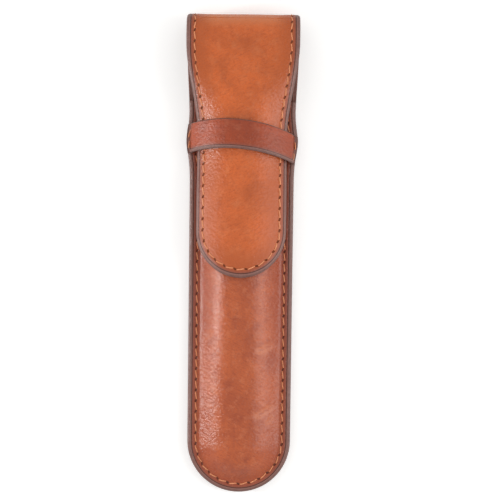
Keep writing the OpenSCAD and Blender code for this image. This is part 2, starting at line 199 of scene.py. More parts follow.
class Shape:
    """The sleeve's forms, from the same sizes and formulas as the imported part."""

    SLOW_TAPER = 0.18
    BULGE_REACH = 6.5 * MM
    DOME_FLAT = 3.2
    DOME_FOOT = 1.6
    ARCH_POWER = 2.5
    FLARE_LEAD = 4 * MM
    HOLD_LEAD = 4 * MM
    EDGE_CLEAR = 0.2 * MM
    WALL_LEAN = 5
    STRAP_SOFT = 0.4 * MM
    SEAT_GAP = 0.03 * MM

    def __init__(self):
        p = self.p = bpy.context.scene.sleeve_sizes
        self.looks = bpy.context.scene.sleeve_looks
        self.back_t = p.back_leather_t + p.back_lining_t
        self.front_t = p.front_leather_t + p.front_lining_t
        self.flange_z = self.back_t + self.front_t
        self.fold_y = p.sleeve_len / 2 - p.fold_r
        self.mouth_y = p.sleeve_len / 2 - p.mouth_setback
        self.strap_y = p.sleeve_len / 2 - p.strap_setback
        self.end_r = p.end_w / 2
        self.end_y = -p.sleeve_len / 2 + self.end_r
        self.tongue_r = p.tongue_w / 2
        self.tip_y = p.sleeve_len / 2 - p.flap_len + self.tongue_r
        self.flare_end_y = self.fold_y - self.FLARE_LEAD
        self.hold_reach = p.strap_w + self.HOLD_LEAD
        self.hold_y = self.strap_y - p.strap_bow / 2 - p.strap_skew / 4

    # Outlines
    def body_half(self, y):
        p, grow = self.p, self.p.fold_w / 2 - self.end_r
        slow = self.SLOW_TAPER * clamp01((y - self.end_y) / (self.mouth_y - self.end_y))
        flare = smooth((y - self.strap_y) / (self.flare_end_y - self.strap_y))
        fast = (1 - self.SLOW_TAPER) * flare
        swell = p.strap_bulge * bell((y - self.strap_y + p.strap_bow / 2) / self.BULGE_REACH)
        return self.end_r + grow * (slow + fast) + swell

    def flap_half(self, y):
        flare = smooth((y - self.strap_y) / (self.flare_end_y - self.strap_y))
        return self.tongue_r + (self.p.fold_w / 2 - self.tongue_r) * flare

    # Heights
    def dome_at(self, y):
        p = self.p
        return p.dome_end_h + (p.dome_h - p.dome_end_h) * smooth((y - self.end_y) / p.dome_fall_len)

    def dome_share(self, v):
        return (1 - v**self.DOME_FLAT) ** self.DOME_FOOT

    def dome_slope(self, v):
        flat, foot = self.DOME_FLAT, self.DOME_FOOT
        return flat * foot * v ** (flat - 1) * (1 - v**flat) ** (foot - 1)

    def crown_at(self, y):
        p = self.p
        rest = self.flange_z + self.dome_at(min(y, self.mouth_y)) + p.flap_gap + self.back_t
        return 2 * p.fold_r + (rest - 2 * p.fold_r) * smooth(
            (self.fold_y - y) / (self.fold_y - self.mouth_y)
        )

    def lift_at(self, y):
        p = self.p
        return p.tongue_lift + (p.strap_lift - p.tongue_lift) * bell(
            (y - self.hold_y) / self.hold_reach, 4
        )

    def droop_at(self, y):
        full = self.crown_at(y) - self.flange_z - self.back_t - self.lift_at(y)
        return full * smooth((self.fold_y - y) / (self.fold_y - self.strap_y))

    def flap_z(self, x, y):
        across = min(1.0, abs(x) / self.flap_half(y))
        return self.crown_at(y) - self.droop_at(y) * across**self.ARCH_POWER

    def flap_slope(self, x, y):
        half = self.flap_half(y)
        across = min(1.0, abs(x) / half)
        steep = self.droop_at(y) * self.ARCH_POWER * across ** (self.ARCH_POWER - 1) / half
        return math.copysign(steep, x) if x else 0.0

    # Places of a point of the flat pattern, at a depth under its outer face
    def on_fold(self, x, y, deep, side):
        """Past the start of the fold, from the back, side -1, or from the flap, side 1."""
        turn, r = (y - self.fold_y) / self.p.fold_r, self.p.fold_r - deep
        return x, self.fold_y + r * math.sin(turn), self.p.fold_r + side * r * math.cos(turn)

    def on_back(self, x, y, deep):
        return self.on_fold(x, y, deep, -1) if y > self.fold_y else (x, y, deep)

    def on_flap(self, x, y, deep):
        if y > self.fold_y:
            return self.on_fold(x, y, deep, 1)
        slope = self.flap_slope(x, y)
        norm = math.sqrt(1 + slope * slope)
        return x - deep * slope / norm, y, self.flap_z(x, y) - deep / norm

    def strap_mid_y(self, x):
        p, across = self.p, x / self.p.fold_w
        return self.strap_y - p.strap_skew * across - p.strap_bow * 4 * across * across

    def strap_z(self, x, y, t):
        p, soft = self.p, self.STRAP_SOFT
        edge, seat = self.flap_half(y), self.flange_z + self.SEAT_GAP
        near = min(abs(x), edge)
        lean = abs(self.flap_slope(near, y))
        stretch, wall_stretch = math.hypot(1, lean), math.hypot(1, self.WALL_LEAN)
        arch = self.flap_z(near, y) + p.strap_gap * stretch - seat - lean * (abs(x) - near)
        past = abs(x) - edge - self.EDGE_CLEAR
        wall = self.flap_z(edge, y) + p.strap_gap - seat - self.WALL_LEAN * past
        over, down = arch + t * (stretch - 1), wall + t * (wall_stretch - 1)
        lower = (over + down - math.hypot(over - down, soft)) / 2
        return seat + t + (lower + math.hypot(lower, soft)) / 2


class Panel:
    """One layer of leather: stations round its edge in a U, each with rings from edge to middle.

    A station is (side, y, None) on a straight side and (0, y, turn) round the round end.
    """

    # Rings near the edge, in millimetres from it: leather's outer face, lining's, and inner faces
    LEATHER_RIM = (0, 0.07, 0.2, 0.4, 0.65, 0.95, 1.2, 1.35, 1.45)
    LEATHER_RIM += (1.6, 1.9, 2.3, 2.6, 2.9, 3.2, 3.6)
    LINING_RIM = (0, 0.5, 2.9, 3.6)
    INNER_RIM = (0, 0.25, 0.7, 2.9)
    FRONT_RINGS, STRIP_RINGS = 26, 20  # rings from the dome's foot to the middle
    STATION_STEP = 1.0 * MM
    END_STEPS = 48  # stations round the round end
    MOUTH_STEPS = (0, 0.08, 0.25, 0.5, 0.75, 1)
    # Rows of one part of the fold: fine at its ends, so that the shading of two parts meets
    BEND_PARTS = (0, 0.01, 0.03, 0.08, 0.18, 0.31, 0.44, 0.56, 0.69, 0.82, 0.92, 0.97, 0.99, 1)
    END_PART = 0.9  # from this share of the bend on, a plate goes straight to its flat part
    CREASE_AT, CREASE_W, CREASE_H = 1.45 * MM, 0.16 * MM, 0.10 * MM
    GROOVE_W, GROOVE_H = 0.42 * MM, 0.13 * MM
    BACK_GROOVE_W, BACK_GROOVE_H = 0.13 * MM, 0.21 * MM  # how much wider and deeper the back's is
    MOUTH_W, MOUTH_H = 0.55 * MM, 0.44 * MM
    LINING_EDGE_W, LINING_EDGE_H = 0.7 * MM, 0.35 * MM
    RIPPLE_FROM, RIPPLE_RUN = 3.2 * MM, 4 * MM
    # The ripple's waves: to the metre across and along, share of its depth, start in the noise
    STRIP_WAVES, FRONT_WAVES = (90, 62, 0.42, 7.3, 1.7, 3.1), (90, 62, 0.42, 7.3, 1.7, 9.4)
    FINE_WAVES, RIPPLE_MEAN = (310, 240, 0.16, 0, 0, 5.5), 0.5
    FREE_RUN = 4 * MM  # above the mouth, over which the back lining's edge comes free
    LAYER_GAP = 23.0  # between the flat patterns of two layers, in millimetres

    def __init__(self, shape, kind, top, bottom):
        self.s, self.kind, self.top, self.bottom = shape, kind, top, bottom
        self.p, self.looks = shape.p, shape.looks
        body = kind in ("back", "front")
        self.is_lining = top > 0
        self.half_at = shape.body_half if body else shape.flap_half
        self.round_r = shape.end_r if body else shape.tongue_r
        self.round_y = shape.end_y if body else shape.tip_y
        self.seam_from = shape.mouth_y if kind == "front" else shape.fold_y
        self.seam_r = self.round_r - self.p.seam_inset
        self.side_run = self.seam_from - self.round_y
        self.run = 2 * self.side_run + math.pi * self.seam_r
        self.count = math.floor(self.run / self.p.stitch_pitch)

    def half(self, station):
        """Half width; the bend is as wide as the fold."""
        if station[2] is not None:
            return self.round_r
        return self.half_at(min(station[1], self.s.fold_y))

    def spot(self, station, inset):
        """Place on the flat pattern."""
        side, y, turn = station
        if turn is None:
            return side * (self.half(station) - inset), y
        r = self.round_r - inset
        return -r * math.cos(turn), y - r * math.sin(turn)

    def station_at(self, run):
        """Station at a distance along the seam, from its upper left end."""
        if run < self.side_run:
            return -1, self.seam_from - run, None
        if run < self.side_run + math.pi * self.seam_r:
            return 0, self.round_y, (run - self.side_run) / self.seam_r
        return 1, self.round_y + run - self.side_run - math.pi * self.seam_r, None

    def seam_step(self, station):
        """Distance along the seam, in stitches. Whole numbers are holes."""
        side, y, turn = station
        over = y - self.seam_from
        if turn is None and over > 0:
            back = -over / (self.p.fold_r * FOLD_PITCH)
            return back if side < 0 else self.count - back
        if turn is not None:
            run = self.side_run + self.seam_r * turn
        elif side < 0:
            run = -over
        else:
            run = self.side_run + math.pi * self.seam_r + y - self.round_y
        return run * self.count / self.run

    def strip_y(self, y):
        """Place along the flat strip, which runs on from the back over the fold into the flap."""
        return 2 * self.s.fold_y + math.pi * self.p.fold_r - y if self.kind == "flap" else y

    def ripple(self, x, y):
        """Slow and fine unevenness of the leather, and the front's creases."""
        share = self.RIPPLE_MEAN
        slow = self.FRONT_WAVES if self.kind == "front" else self.STRIP_WAVES
        for across, along, part, *start in (slow, self.FINE_WAVES):
            spot = (x * across + start[0], self.strip_y(y) * along + start[1], start[2])
            share += part * noise.noise(Vector(spot))
        drop = self.looks.ripple * share
        if self.kind == "front":
            drop += sum(crease_share(x, y, crease) * crease[2] for crease in CREASES)
        return drop

    def face_drop(self, x, y, inset):
        """Depth of the outer face under its plain form: round edge, crease, groove and ripple."""
        edge_w, drop = self.looks.edge_w, 0.0
        if inset < edge_w:
            drop = self.looks.edge_h * rounding(inset / edge_w)
        drop += self.CREASE_H * bell((inset - self.CREASE_AT) / self.CREASE_W)
        more = 0.0
        if self.kind == "back":
            more = 1 - smooth((y - self.s.fold_y) / (math.pi / 2 * self.p.fold_r))
        groove = self.GROOVE_H + self.BACK_GROOVE_H * more
        wide = self.GROOVE_W + self.BACK_GROOVE_W * more
        drop += groove * bell((inset - self.p.seam_inset) / wide)
        return drop + self.ripple(x, y) * smooth((inset - self.RIPPLE_FROM) / self.RIPPLE_RUN)

    def mouth_drop(self, y):
        """Rounding of the front's cut edge at its mouth."""
        near = self.s.mouth_y - y
        if self.kind != "front" or near > self.MOUTH_W:
            return 0.0
        return self.MOUTH_H * rounding(max(0.0, near) / self.MOUTH_W)

    def point(self, station, inset, deep):
        """A point at a depth under the plain outer face."""
        s, p = self.s, self.p
        x, y = self.spot(station, inset)
        if self.kind == "back":
            return s.on_back(x, y, deep)
        if self.kind == "flap":
            return s.on_flap(x, y, deep)
        half, at_y = self.half(station), station[1]
        v = clamp01((half - inset) / (half - p.flange_w)) if inset > p.flange_w else 1.0
        slope = s.dome_at(at_y) * s.dome_slope(v) / (half - p.flange_w)
        norm = math.hypot(1, slope)
        x, y = self.spot(station, inset + deep * slope / norm)
        if station[2] is None:
            x = station[0] * abs(x)
        return x, y, s.flange_z + s.dome_at(at_y) * s.dome_share(v) - deep / norm

    def face(self, station, inset, rise=0.0, outer=True):
        """A point over the finished outer or inner face."""
        x, y = self.spot(station, inset)
        if outer:
            drop = self.face_drop(x, y, inset) + self.mouth_drop(station[1])
            return self.point(station, inset, self.top + drop - rise)
        return self.point(station, inset, self.bottom + rise)

    def rings(self):
        """Rings of the outer and of the inner face, as (inset, share of the rest of the way in)."""
        front = self.kind == "front"
        steps = self.FRONT_RINGS if front else self.STRIP_RINGS
        if self.is_lining:
            steps //= 2
        shares = [k / steps for k in range(steps + 1)]
        if front:
            shares = [1 - math.cos(math.pi / 2 * f) for f in shares]
        inner_shares = shares if self.is_lining else shares[::2]
        foot = self.p.flange_w
        rim = self.LINING_RIM if self.is_lining else self.LEATHER_RIM
        outer = [(r * MM, 0.0) for r in rim] + [(foot, f) for f in shares]
        inner = [(r * MM, 0.0) for r in self.INNER_RIM] + [(foot, f) for f in inner_shares]
        return outer, inner

    def inner_deep(self, inset, y):
        """Depth of the inner face, with its own edge rounded where it is seen."""
        if not self.is_lining:
            return self.bottom
        deep = self.bottom - self.mouth_drop(y)
        if inset < self.LINING_EDGE_W:
            free = smooth((y - self.s.mouth_y) / self.FREE_RUN) if self.kind == "back" else 1.0
            deep -= free * self.LINING_EDGE_H * rounding(inset / self.LINING_EDGE_W)
        return deep

    def section(self, station):
        """Points (place, uv, flat place) from the inner middle round the edge to the outer."""
        outer, inner = self.rings()
        half, step = self.half(station), self.seam_step(station)
        out = []
        for fixed, part in reversed(inner):
            inset = fixed + part * (half - fixed)
            place = self.point(station, inset, self.inner_deep(inset, station[1]))
            out.append((place, (inset / MM, step), self.flat(station, inset, 1)))
        for fixed, part in outer:
            inset = fixed + part * (half - fixed)
            if self.is_lining:
                place = self.point(station, inset, self.top)
            else:
                place = self.face(station, inset)
            out.append((place, (inset / MM, step), self.flat(station, inset, 0)))
        return out

    def flat(self, station, inset, face):
        """Place on the flat pattern in millimetres, each layer and face at a height of its own."""
        x, y = self.spot(station, inset)
        layer = (0 if self.kind == "front" else 4) + (2 if self.is_lining else 0) + face
        return x / MM, self.strip_y(y) / MM, layer * self.LAYER_GAP

    def stations(self, from_y):
        """Stations down the left side, round the end and up the right side."""
        first = [from_y]
        if self.kind == "front":
            first = [from_y - r * self.MOUTH_W for r in self.MOUTH_STEPS]
        if from_y > self.s.fold_y:
            arc = from_y - self.s.fold_y
            first = [from_y - arc * part for part in self.BEND_PARTS if part < self.END_PART]
            first.append(self.s.fold_y)
        top, run = first[-1], first[-1] - self.round_y
        count = round(run / self.STATION_STEP)
        ys = first + [top - run * i / count for i in range(1, count + 1)]
        left = [(-1, y, None) for y in ys]
        turns = [math.pi * a / self.END_STEPS for a in range(1, self.END_STEPS)]
        return left + [(0, self.round_y, a) for a in turns] + [(1, y, None) for y in reversed(ys)]


def deselect():
    if bpy.context.object and bpy.context.object.mode != "OBJECT":
        bpy.ops.object.mode_set(mode="OBJECT")
    bpy.ops.object.select_all(action="DESELECT")


def edit(operator, **settings):
    """Runs a mesh operator on the whole of the active mesh."""
    bpy.ops.object.mode_set(mode="EDIT")
    bpy.ops.mesh.select_all(action="SELECT")
    operator(**settings)
    bpy.ops.object.mode_set(mode="OBJECT")


def grid_piece(name, rows, angle=50, creased=False, plain_ends=False):
    """A grid set to rows of (place, uv, flat place), then merged, capped and shaded smooth."""
    deselect()
    wide, tall = len(rows[0]), len(rows)
    bpy.ops.mesh.primitive_grid_add(x_subdivisions=wide - 1, y_subdivisions=tall - 1, size=1)
    piece = bpy.context.object
    mesh = piece.data
    piece.name = mesh.name = name
    # the primitive's points run along x first, then y
    cells = [cell for row in rows for cell in row]
    seam = mesh.uv_layers[0]
    seam.name = "seam"
    for vertex, cell in zip(mesh.vertices, cells):
        vertex.co = cell[0]
    for loop in mesh.loops:
        seam.data[loop.index].uv = cells[loop.vertex_index][1]
    # a new attribute moves the others' data, so both are made before either is looked up
    mesh.attributes.new("flat_mm", "FLOAT_VECTOR", "POINT")
    mesh.attributes.new("crease", "FLOAT", "POINT")
    flat, crease_weight = mesh.attributes["flat_mm"], mesh.attributes["crease"]
    for i, (_, _, place) in enumerate(cells):
        flat.data[i].vector = place
        # crease weights, from which the finish paints highlight and shade on the creases
        if creased:
            x, y = place[0] * MM, place[1] * MM
            crease_weight.data[i].value = max(crease_share(x, y, crease) for crease in CREASES)
    edit(bpy.ops.mesh.remove_doubles, threshold=MERGE)
    sides = len(mesh.polygons)
    bpy.ops.object.mode_set(mode="EDIT")
    bpy.ops.mesh.select_all(action="DESELECT")
    bpy.ops.mesh.select_mode(type="EDGE")
    others = dict.fromkeys(("use_wire", "use_multi_face", "use_non_contiguous"), False)
    bpy.ops.mesh.select_non_manifold(extend=False, use_boundary=True, **others)
    bpy.ops.mesh.fill(use_beauty=True)
    bpy.ops.mesh.select_mode(type="VERT")
    bpy.ops.object.mode_set(mode="OBJECT")
    edit(bpy.ops.mesh.normals_make_consistent, inside=False)
    if plain_ends:
        match_ends(mesh, sides)
    bpy.ops.object.shade_smooth_by_angle(angle=math.radians(angle))
    return piece


def match_ends(mesh, sides):
    """Gives the caps, which meet another part of the strip, the look of the leather beside them."""
    seam, beside = mesh.uv_layers["seam"], {}
    for polygon in mesh.polygons[:sides]:
        for i in polygon.loop_indices:
            beside[mesh.loops[i].vertex_index] = tuple(seam.data[i].uv)
    for polygon in mesh.polygons[sides:]:
        for i in polygon.loop_indices:
            seam.data[i].uv = beside[mesh.loops[i].vertex_index]


def finish_piece(piece, material, slot, nodes):
    piece.data.materials.clear()
    piece.data.materials.append(bpy.data.materials[material])
    if nodes:
        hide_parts(*nodes)
    return piece


# ---- materials


class Nodes:
    """A short way to lay out one material's nodes."""

    def __init__(self, name):
        self.material = bpy.data.materials.new(name)
        self.material.use_nodes = True
        self.tree = self.material.node_tree
        self.shader = self.tree.nodes["Principled BSDF"]

    def feed(self, inputs, values):
        """Links or sets each input."""
        for key, value in values.items():
            if isinstance(value, bpy.types.NodeSocket):
                self.tree.links.new(value, inputs[key])
            else:
                inputs[key].default_value = value

    def put(self, kind, values=(), **settings):
        node = self.tree.nodes.new(kind)
        for key, value in settings.items():
            setattr(node, key, value)
        self.feed(node.inputs, dict(values))
        return node

    def calc(self, operation, a, b=0.0, clamp=False):
        node = self.put("ShaderNodeMath", {0: a, 1: b}, operation=operation, use_clamp=clamp)
        return node.outputs[0]

    def add(self, a, b, clamp=False):
        return self.calc("ADD", a, b, clamp)

    def less(self, a, b):
        return self.calc("SUBTRACT", a, b)

    def times(self, a, b, clamp=False):
        return self.calc("MULTIPLY", a, b, clamp)

    def away(self, a, b):
        """How far a value is from another."""
        return self.calc("ABSOLUTE", self.less(a, b))

    def wave(self, value):
        """The fraction of a value, less a half."""
        return self.less(self.calc("FRACT", value), 0.5)

    def fade(self, value, low, high, to_low=0.0, to_high=1.0):
        ends = {"From Min": low, "From Max": high, "To Min": to_low, "To Max": to_high}
        inputs = {"Value": value, **ends}
        return self.put("ShaderNodeMapRange", inputs, interpolation_type="SMOOTHSTEP").outputs[0]

    def mix(self, factor, a, b):
        tones = [tone if isinstance(tone, bpy.types.NodeSocket) else (*tone, 1) for tone in (a, b)]
        values = {0: factor, 6: tones[0], 7: tones[1]}
        return self.put("ShaderNodeMix", values, data_type="RGBA").outputs[2]

    def millimetres(self, stretch=1, turn=0.0):
        """Places on the flat pattern in millimetres, so that a pattern bends with the leather."""
        place = self.put("ShaderNodeAttribute", attribute_name="flat_mm").outputs["Vector"]
        for change in ({"Rotation": (0, 0, turn)}, {"Scale": (1, stretch, 1)}):
            place = self.put("ShaderNodeMapping", {"Vector": place, **change}).outputs[0]
        return place

    def noise(self, size, detail, rough, stretch=1, turn=0.0):
        place = self.millimetres(stretch, turn)
        inputs = {"Vector": place, "Scale": 1 / size, "Detail": detail, "Roughness": rough}
        return self.put("ShaderNodeTexNoise", inputs).outputs["Fac"]

    def pebbles(self, size):
        inputs = {"Vector": self.millimetres(), "Scale": 1 / size}
        return self.put("ShaderNodeTexVoronoi", inputs, feature="SMOOTH_F1").outputs["Distance"]

    def uv(self, name):
        """The two coordinates of a UV map."""
        place = self.put("ShaderNodeUVMap", uv_map=name).outputs[0]
        return self.put("ShaderNodeSeparateXYZ", {0: place}).outputs[:2]

    def bump(self, height, distance, before=None):
        inputs = {"Height": height, "Distance": distance, "Strength": 1.0}
        if before:
            inputs["Normal"] = before
        return self.put("ShaderNodeBump", inputs).outputs[0]

    def to_shader(self, **values):
        values = {name.replace("_", " "): value for name, value in values.items()}
        self.feed(self.shader.inputs, values)
        return self.material


# Where the look of a panel changes, in millimetres from its edge
PAINT_END = (1.22, 1.36)
# painted highlight on the top of the edge's rounding
PAINT_HIGHLIGHT = (0.65, 1.15)
CREASE_LINE, CREASE_SIDE = 1.45, (0.05, 0.26)
BURNISHED = (1.5, 3.1)
# painted shade over the sides, darker towards the seam
SIDE_SHADE = (2.6, 10.5)
# ... and along the flat strip: less painted shade on the sides below, a duller tongue, and a
# painted sheen round the fold's middle
LESS_SIDE_SHADE = (-42, -22)
TONGUE = (138, 150)
FOLD_SHEEN = (5.2, 10.2)
# A stitch hole's lean, and its half length and half width in millimetres
HOLE_LEAN, HOLE_LONG, HOLE_WIDE = math.radians(24), 0.55, 0.26
# Patterns of the leather: size in millimetres, detail, roughness, and its stretch and turn
PATTERNS = {
    "clouds": (15, 3, 0.6),
    "mottle": (3.2, 4, 0.62),
    "blots": (6.5, 3, 0.55, 0.8, 0.4),
    "fibre": (0.5, 3, 0.6, 0.24, math.radians(115)),
    "grain": (0.62, 4, 0.7),
    "wrinkle": (1.7, 3, 0.6, 0.3, math.radians(40)),
    "streaks": (1.3, 4, 0.7),
}
PEBBLE_SIZE = 0.85
# Mottling of the leather, one over another: pattern, where it starts and is full, share, tone
MOTTLING = (
    ("clouds", 0.38, 0.66, 0.55, "deep"),
    ("blots", 0.50, 0.70, 0.60, "deep"),
    ("mottle", 0.48, 0.76, 0.50, "pale"),
    ("fibre", 0.47, 0.72, 0.42, "dark"),
    ("grain", 0.44, 0.70, 0.50, "deep"),
)
DARK = (0.72, 0.5, 0.45)  # shares of the deep tone's channels


def tinted(tone, *shares):
    """A colour times one share, or a share for each channel."""
    return tuple(c * share for c, share in zip(tone, shares * 3))


def leather_material(kind, holes=True, gloss=0.27, matt=False, rubbed=False):
    """Vegetable-tanned leather: painted edge, crease, stitch holes, pores and fine wrinkles."""
    s, n = Shape(), Nodes(kind + "_finish")
    looks = s.looks
    main, deep = getattr(looks, kind), getattr(looks, kind + "_deep")
    pale = getattr(looks, kind + "_pale", main)
    inset, step = n.uv("seam")
    along_strip = n.put("ShaderNodeSeparateXYZ", {0: n.millimetres()}).outputs[1]
    from_fold = n.away(along_strip, (s.fold_y + math.pi / 2 * s.p.fold_r) / MM)

    patterns = {name: n.noise(*settings) for name, settings in PATTERNS.items()}
    mottle, grain = patterns["mottle"], patterns["grain"]
    tones = {"deep": deep, "pale": pale, "dark": tinted(deep, *DARK)}
    face = main
    for name, low, high, share, other in MOTTLING:
        face = n.mix(n.fade(patterns[name], low, high, 0, share), face, tones[other])
    # the front's creases have painted highlights on their ridges and a slightly dark core of
    # painted shade
    crease_weight = n.put("ShaderNodeAttribute", attribute_name="crease").outputs["Fac"]
    crease_highlight = n.times(crease_weight, n.less(1.0, crease_weight))
    face = n.mix(n.times(crease_highlight, 2.2, clamp=True), face, pale)
    face = n.mix(n.fade(crease_weight, 0.55, 0.95, 0, 0.35), face, deep)
    # a painted sheen over the fold's middle
    face = n.mix(n.fade(from_fold, *FOLD_SHEEN, 0.95, 0), face, pale)
    # painted shade over the sides, darker towards the seam; burnished beside the painted edge, and
    # darkest in the crease
    if holes:
        side_shade = n.times(n.fade(inset, *SIDE_SHADE, 1, 0), n.fade(along_strip, *LESS_SIDE_SHADE, 0.5, 1))
        face = n.mix(side_shade, face, deep)
    face = n.mix(n.fade(inset, *BURNISHED, 0.85, 0), face, looks.rim)
    crease = n.less(1.0, n.fade(n.away(inset, CREASE_LINE), *CREASE_SIDE))
    face = n.mix(n.times(crease, 0.85), face, looks.hole)

    # the painted edge is streaked, and paler towards its inner border as a painted highlight on the
    # top of its rounding
    streaks = n.fade(patterns["streaks"], 0.38, 0.72, 0, 0.6)
    paint_tone = n.mix(streaks, looks.edge, tinted(looks.edge, 0.55))
    paint_tone = n.mix(n.fade(inset, *PAINT_HIGHLIGHT, 0, 0.55), paint_tone, tinted(looks.edge, 1.7))
    rough_line = n.times(n.less(mottle, 0.5), 0.30)
    paint = n.fade(n.add(inset, rough_line), *PAINT_END, 1, 0)
    tone = n.mix(paint, face, paint_tone)

    pebbles = n.fade(n.pebbles(PEBBLE_SIZE), 0.1, 0.7, 1, 0)
    normal = n.bump(n.add(n.times(grain, 1.4), n.times(pebbles, 0.6)), 0.10 * MM)
    wrinkles = n.add(patterns["wrinkle"], n.add(mottle, patterns["fibre"]))
    normal = n.bump(wrinkles, 0.06 * MM, normal)
    shine = n.fade(mottle, 0.3, 0.8, gloss - 0.05, gloss + 0.10)
    if rubbed:
        shine = n.add(shine, n.fade(along_strip, *TONGUE, 0, 0.16))
    shine = n.add(shine, n.times(paint, 0.10))

    if holes:
        along = n.times(n.wave(n.add(step, 0.5)), s.p.stitch_pitch / MM)
        across = n.less(inset, s.p.seam_inset / MM)
        sine, cosine = math.sin(HOLE_LEAN), math.cos(HOLE_LEAN)
        long_way = n.less(n.times(across, sine), n.times(along, cosine))
        short_way = n.add(n.times(along, sine), n.times(across, cosine))
        reaches = n.calc("DIVIDE", long_way, HOLE_LONG), n.calc("DIVIDE", short_way, HOLE_WIDE)
        reach = n.calc("SQRT", n.add(*(n.times(r, r) for r in reaches)))
        # painted shade: dark inside each stitch hole and darker round it
        tone = n.mix(n.fade(reach, 0.8, 1.35, 1, 0), tone, looks.hole)
        tone = n.mix(n.fade(reach, 1.2, 2.6, 0.35, 0), tone, deep)
        normal = n.bump(n.fade(reach, 0.6, 1.6), 0.35 * MM, normal)
        shine = n.add(shine, n.fade(reach, 0.9, 1.5, 0.5, 0), clamp=True)
    specular = 0.25 if matt else 0.5
    return n.to_shader(Base_Color=tone, Roughness=shine, Normal=normal, Specular_IOR_Level=specular)


def thread_material():
    """Waxed linen: strands twisted round the thread."""
    looks = bpy.context.scene.sleeve_looks
    n = Nodes("thread_finish")
    along, round_it = n.uv("strand")
    strand = n.calc("ABSOLUTE", n.wave(n.add(n.times(along, 5.0), n.times(round_it, 3.0))))
    fuzz = n.noise(0.25, 3, 0.7)
    # darker in the hollows between the strands: painted shade
    tone = n.mix(n.fade(strand, 0.28, 0.5), looks.thread, looks.thread_deep)
    tone = n.mix(n.fade(fuzz, 0.55, 0.85, 0, 0.5), tone, looks.thread_deep)
    normal = n.bump(n.fade(strand, 0.1, 0.5, 1, 0), 0.07 * MM)
    return n.to_shader(Base_Color=tone, Roughness=0.55, Normal=normal)


# ---- stitches


STITCH_RINGS, STITCH_SIDES = 7, 8
STITCH_SHARE = 0.80  # a stitch's length, of the pitch
# Shares of the thread's diameter: how much thinner a stitch's ends are, how far its ends are pulled
# in and its middle stands out, and how flat it lies
STITCH_THIN, STITCH_SINK, STITCH_RISE, STITCH_FLAT = 0.35, 0.62, 0.20, 0.85
STITCH_SLANT = 0.15  # of its length
STITCH_FLAT_W = 3  # width that a stitch takes on the flat pattern, in millimetres
_stitch = {}


def stitch_form():
    """One stitch modelled once: a cylinder along x, from -0.5 to 0.5, cut into rings."""
    if _stitch:
        return _stitch
    deselect()
    form = {"radius": 0.5, "depth": 1, "rotation": (0, math.pi / 2, 0)}
    bpy.ops.mesh.primitive_cylinder_add(vertices=STITCH_SIDES, **form)
    piece = bpy.context.object
    bpy.ops.object.transform_apply(location=True, rotation=True, scale=True)
    for k in range(1, STITCH_RINGS):
        edit(bpy.ops.mesh.bisect, plane_co=(k / STITCH_RINGS - 0.5, 0, 0), plane_no=(1, 0, 0))
    _stitch["points"] = [tuple(v.co) for v in piece.data.vertices]
    _stitch["faces"] = [list(f.vertices) for f in piece.data.polygons]
    mesh = piece.data
    bpy.data.objects.remove(piece)
    bpy.data.meshes.remove(mesh)
    return _stitch


def seam_piece(name, spots, pitch, nodes):
    """Copies of the stitch; each spot is a function from (along, across, rise) to a place."""
    form, long = stitch_form(), STITCH_SHARE * pitch
    diameter = bpy.context.scene.sleeve_sizes.thread_d
    points, faces, strands, flats = [], [], [], []
    for spot in spots:
        start = len(points)
        for x, y, z in form["points"]:
            end = abs(2 * x)
            thick = diameter * (1 - STITCH_THIN * end**3)
            sink = diameter * (STITCH_SINK * end**4 - STITCH_RISE)
            across, rise = y * thick + STITCH_SLANT * x * long, z * thick * STITCH_FLAT - sink
            points.append(spot(x * long, across, rise))
            strands.append((x * long / MM, math.atan2(z, y) / (2 * math.pi)))
            flats.append((x * long / MM, y * STITCH_FLAT_W, z * STITCH_FLAT_W + start))
        faces += [[start + i for i in face] for face in form["faces"]]
    mesh = bpy.data.meshes.new(name)
    mesh.from_pydata(points, [], faces)
    flat = mesh.attributes.new("flat_mm", "FLOAT_VECTOR", "POINT")
    for i, place in enumerate(flats):
        flat.data[i].vector = place
    layer = mesh.uv_layers.new(name="strand")
    for loop in mesh.loops:
        layer.data[loop.index].uv = strands[loop.vertex_index]
    piece = bpy.data.objects.new(name, mesh)
    bpy.context.scene.collection.objects.link(piece)
    deselect()
    piece.select_set(True)
    bpy.context.view_layer.objects.active = piece
    edit(bpy.ops.mesh.normals_make_consistent, inside=False)
    bpy.ops.object.shade_smooth_by_angle(angle=math.radians(60))
    return finish_piece(piece, "thread_finish", "thread", nodes)


def spots_at(panel, middles, station_near, outer):
    """A spot for each middle; station_near gives the station so far along the seam from it."""

    def spot_at(middle):
        def spot(along, across, rise):
            return panel.face(station_near(middle, along), panel.p.seam_inset + across, rise, outer)

        return spot

    return [spot_at(middle) for middle in middles]


def seam_spots(panel, outer, skip=lambda x, y: False):
    """A spot for each stitch along a panel's seam."""
    middles = [(i + 0.5) * panel.run / panel.count for i in range(panel.count)]
    middles = [m for m in middles if not skip(*panel.spot(panel.station_at(m), panel.p.seam_inset))]
    return spots_at(panel, middles, lambda middle, along: panel.station_at(middle + along), outer)


def bend_spots(panel, turns, outer):
    """Spots for the stitches round the fold, at pitches from the panel's end of it."""
    ys = [panel.s.fold_y + panel.p.fold_r * FOLD_PITCH * turn for turn in turns]
    middles = [(side, y) for side in (-1, 1) for y in ys]
    return spots_at(panel, middles, lambda at, along: (at[0], at[1] - at[0] * along, None), outer)


# ---- operators


SLOTS = {"leather": "tan_leather", "lining": "lining_leather"}
FINISHES = {"leather": "tan_finish", "lining": "lining_finish"}
FOLD_NODES = {1: (1, 2), 2: (3,)}  # nodes of the fold that each of its middle parts replaces


